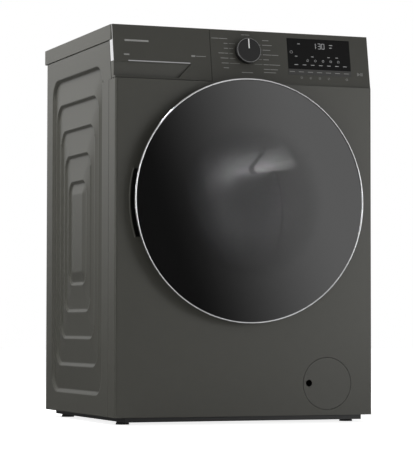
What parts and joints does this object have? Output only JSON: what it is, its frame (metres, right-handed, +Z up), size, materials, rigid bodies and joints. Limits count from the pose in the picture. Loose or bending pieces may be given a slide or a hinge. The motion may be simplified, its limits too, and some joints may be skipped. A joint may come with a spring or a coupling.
{
  "type": "front load washing machine",
  "caption": "Freestanding front-loading washing machine with a large round glass door, detergent drawer, programme knob, display, drum, belt drive and filter hatch.",
  "frame": {"origin": "middle of the footprint of the whole machine, on the floor", "axes": "+X to the right of someone facing the front, +Y towards the back, +Z up"},
  "size_m": [0.6, 0.5636, 0.855],
  "materials": {
    "body_paint": "satin",
    "body_plastic": "satin",
    "black_plastic": "matte",
    "galvanised_steel": "satin",
    "foot_rubber": "matte",
    "display_black": "gloss",
    "key_panel": "satin",
    "board_green": "satin",
    "bright_trim": "polished",
    "white_plastic": "satin",
    "blue_plastic": "satin",
    "smoked_glass": "gloss",
    "clear_glass": "gloss",
    "bare_steel": "satin",
    "tub_plastic": "matte",
    "gasket_rubber": "matte",
    "cast_weight": "matte",
    "damper_grey": "matte",
    "drum_steel": "satin",
    "lifter_plastic": "satin",
    "cast_alloy": "satin",
    "belt_rubber": "matte",
    "motor_grey": "satin"
  },
  "bodies": {
    "cabinet": {"side_panel_left": "body_paint", "side_panel_right": "body_paint", "front_panel": "body_paint", "grip_recess": "black_plastic", "rear_panel": "galvanised_steel", "rear_cover": "galvanised_steel", "base_tray": "black_plastic", "feet": "foot_rubber", "foot_nuts": "galvanised_steel", "top_rails": "galvanised_steel", "worktop": "body_plastic", "console_fascia": "body_plastic", "display_glass": "display_black", "key_strip": "key_panel", "control_board": "board_green", "dispenser_housing": "white_plastic", "hinge_bracket": "bare_steel", "door_lock": "black_plastic", "tub_front": "tub_plastic", "tub_rear": "tub_plastic", "bearings": "bare_steel", "gasket": "gasket_rubber", "front_weight": "cast_weight", "top_weight": "cast_weight", "tub_springs": "bare_steel", "damper_tubes": "damper_grey", "damper_rods": "bare_steel", "heater": "bare_steel", "belt": "belt_rubber", "motor": "motor_grey", "inlet_valve": "white_plastic", "drain_outlet": "black_plastic", "cord_gland": "black_plastic", "drain_pump": "white_plastic", "hatch_pin": "bare_steel", "cabinet_screws": "galvanised_steel"},
    "door": {"door_ring": "bright_trim", "door_glass": "smoked_glass", "door_frame": "black_plastic", "door_inner_frame": "black_plastic", "door_bowl": "clear_glass", "hinge_arm": "bare_steel"},
    "hook": {"door_hook": "bare_steel"},
    "drawer": {"drawer_front": "body_plastic", "drawer_trim": "bright_trim", "drawer_tray": "white_plastic", "softener_cap": "blue_plastic"},
    "knob": {"knob": "black_plastic", "knob_ring": "bright_trim"},
    "drum": {"drum_shell": "drum_steel", "drum_front_ring": "drum_steel", "drum_back": "drum_steel", "lifters": "lifter_plastic", "drum_spider": "cast_alloy", "drum_shaft": "bare_steel", "drum_pulley": "cast_alloy"},
    "rotor": {"motor_rotor": "bare_steel"},
    "impeller": {"pump_impeller": "black_plastic"},
    "plug": {"filter_plug": "black_plastic"},
    "hatch": {"filter_cover": "body_plastic"}
  },
  "joints": [
    {"name": "door_hinge", "type": "hinge", "parent": "cabinet", "child": "door", "pos_m": [0.2575, -0.2682, 0.4796], "axis": [0, 0, 1], "range_deg": [0, 150]},
    {"name": "hook_pivot", "type": "hinge", "parent": "door", "child": "hook", "pos_m": [-0.218, -0.2592, 0.4796], "axis": [0, 0, 1], "range_deg": [0, 7], "stiffness_Nm_per_rad": 0.5},
    {"name": "drawer_slide", "type": "slide", "parent": "cabinet", "child": "drawer", "axis": [0, -1, 0], "range_m": [0, 0.23]},
    {"name": "knob_turn", "type": "hinge", "parent": "cabinet", "child": "knob", "pos_m": [0.007, -0.23341, 0.807], "axis": [0, -0.9857, 0.1685], "continuous": true},
    {"name": "drum_spin", "type": "hinge", "parent": "cabinet", "child": "drum", "pos_m": [0, 0, 0.4796], "axis": [0, 1, 0], "continuous": true},
    {"name": "motor_spin", "type": "hinge", "parent": "cabinet", "child": "rotor", "pos_m": [0, 0, 0.1496], "axis": [0, 1, 0], "continuous": true},
    {"name": "impeller_spin", "type": "hinge", "parent": "cabinet", "child": "impeller", "pos_m": [0.1828, 0, 0.085], "axis": [0, 1, 0], "continuous": true},
    {"name": "filter_plug_turn", "type": "hinge", "parent": "cabinet", "child": "plug", "pos_m": [0.1828, 0, 0.085], "axis": [0, -1, 0], "range_deg": [0, 90]},
    {"name": "filter_cover_hinge", "type": "hinge", "parent": "cabinet", "child": "hatch", "pos_m": [0.2722, -0.2432, 0.085], "axis": [0, 0, 1], "range_deg": [0, 72]}
  ],
  "couplings": [
    {"joint": "motor_spin", "follows": "drum_spin", "ratio": 12.727}
  ]
}
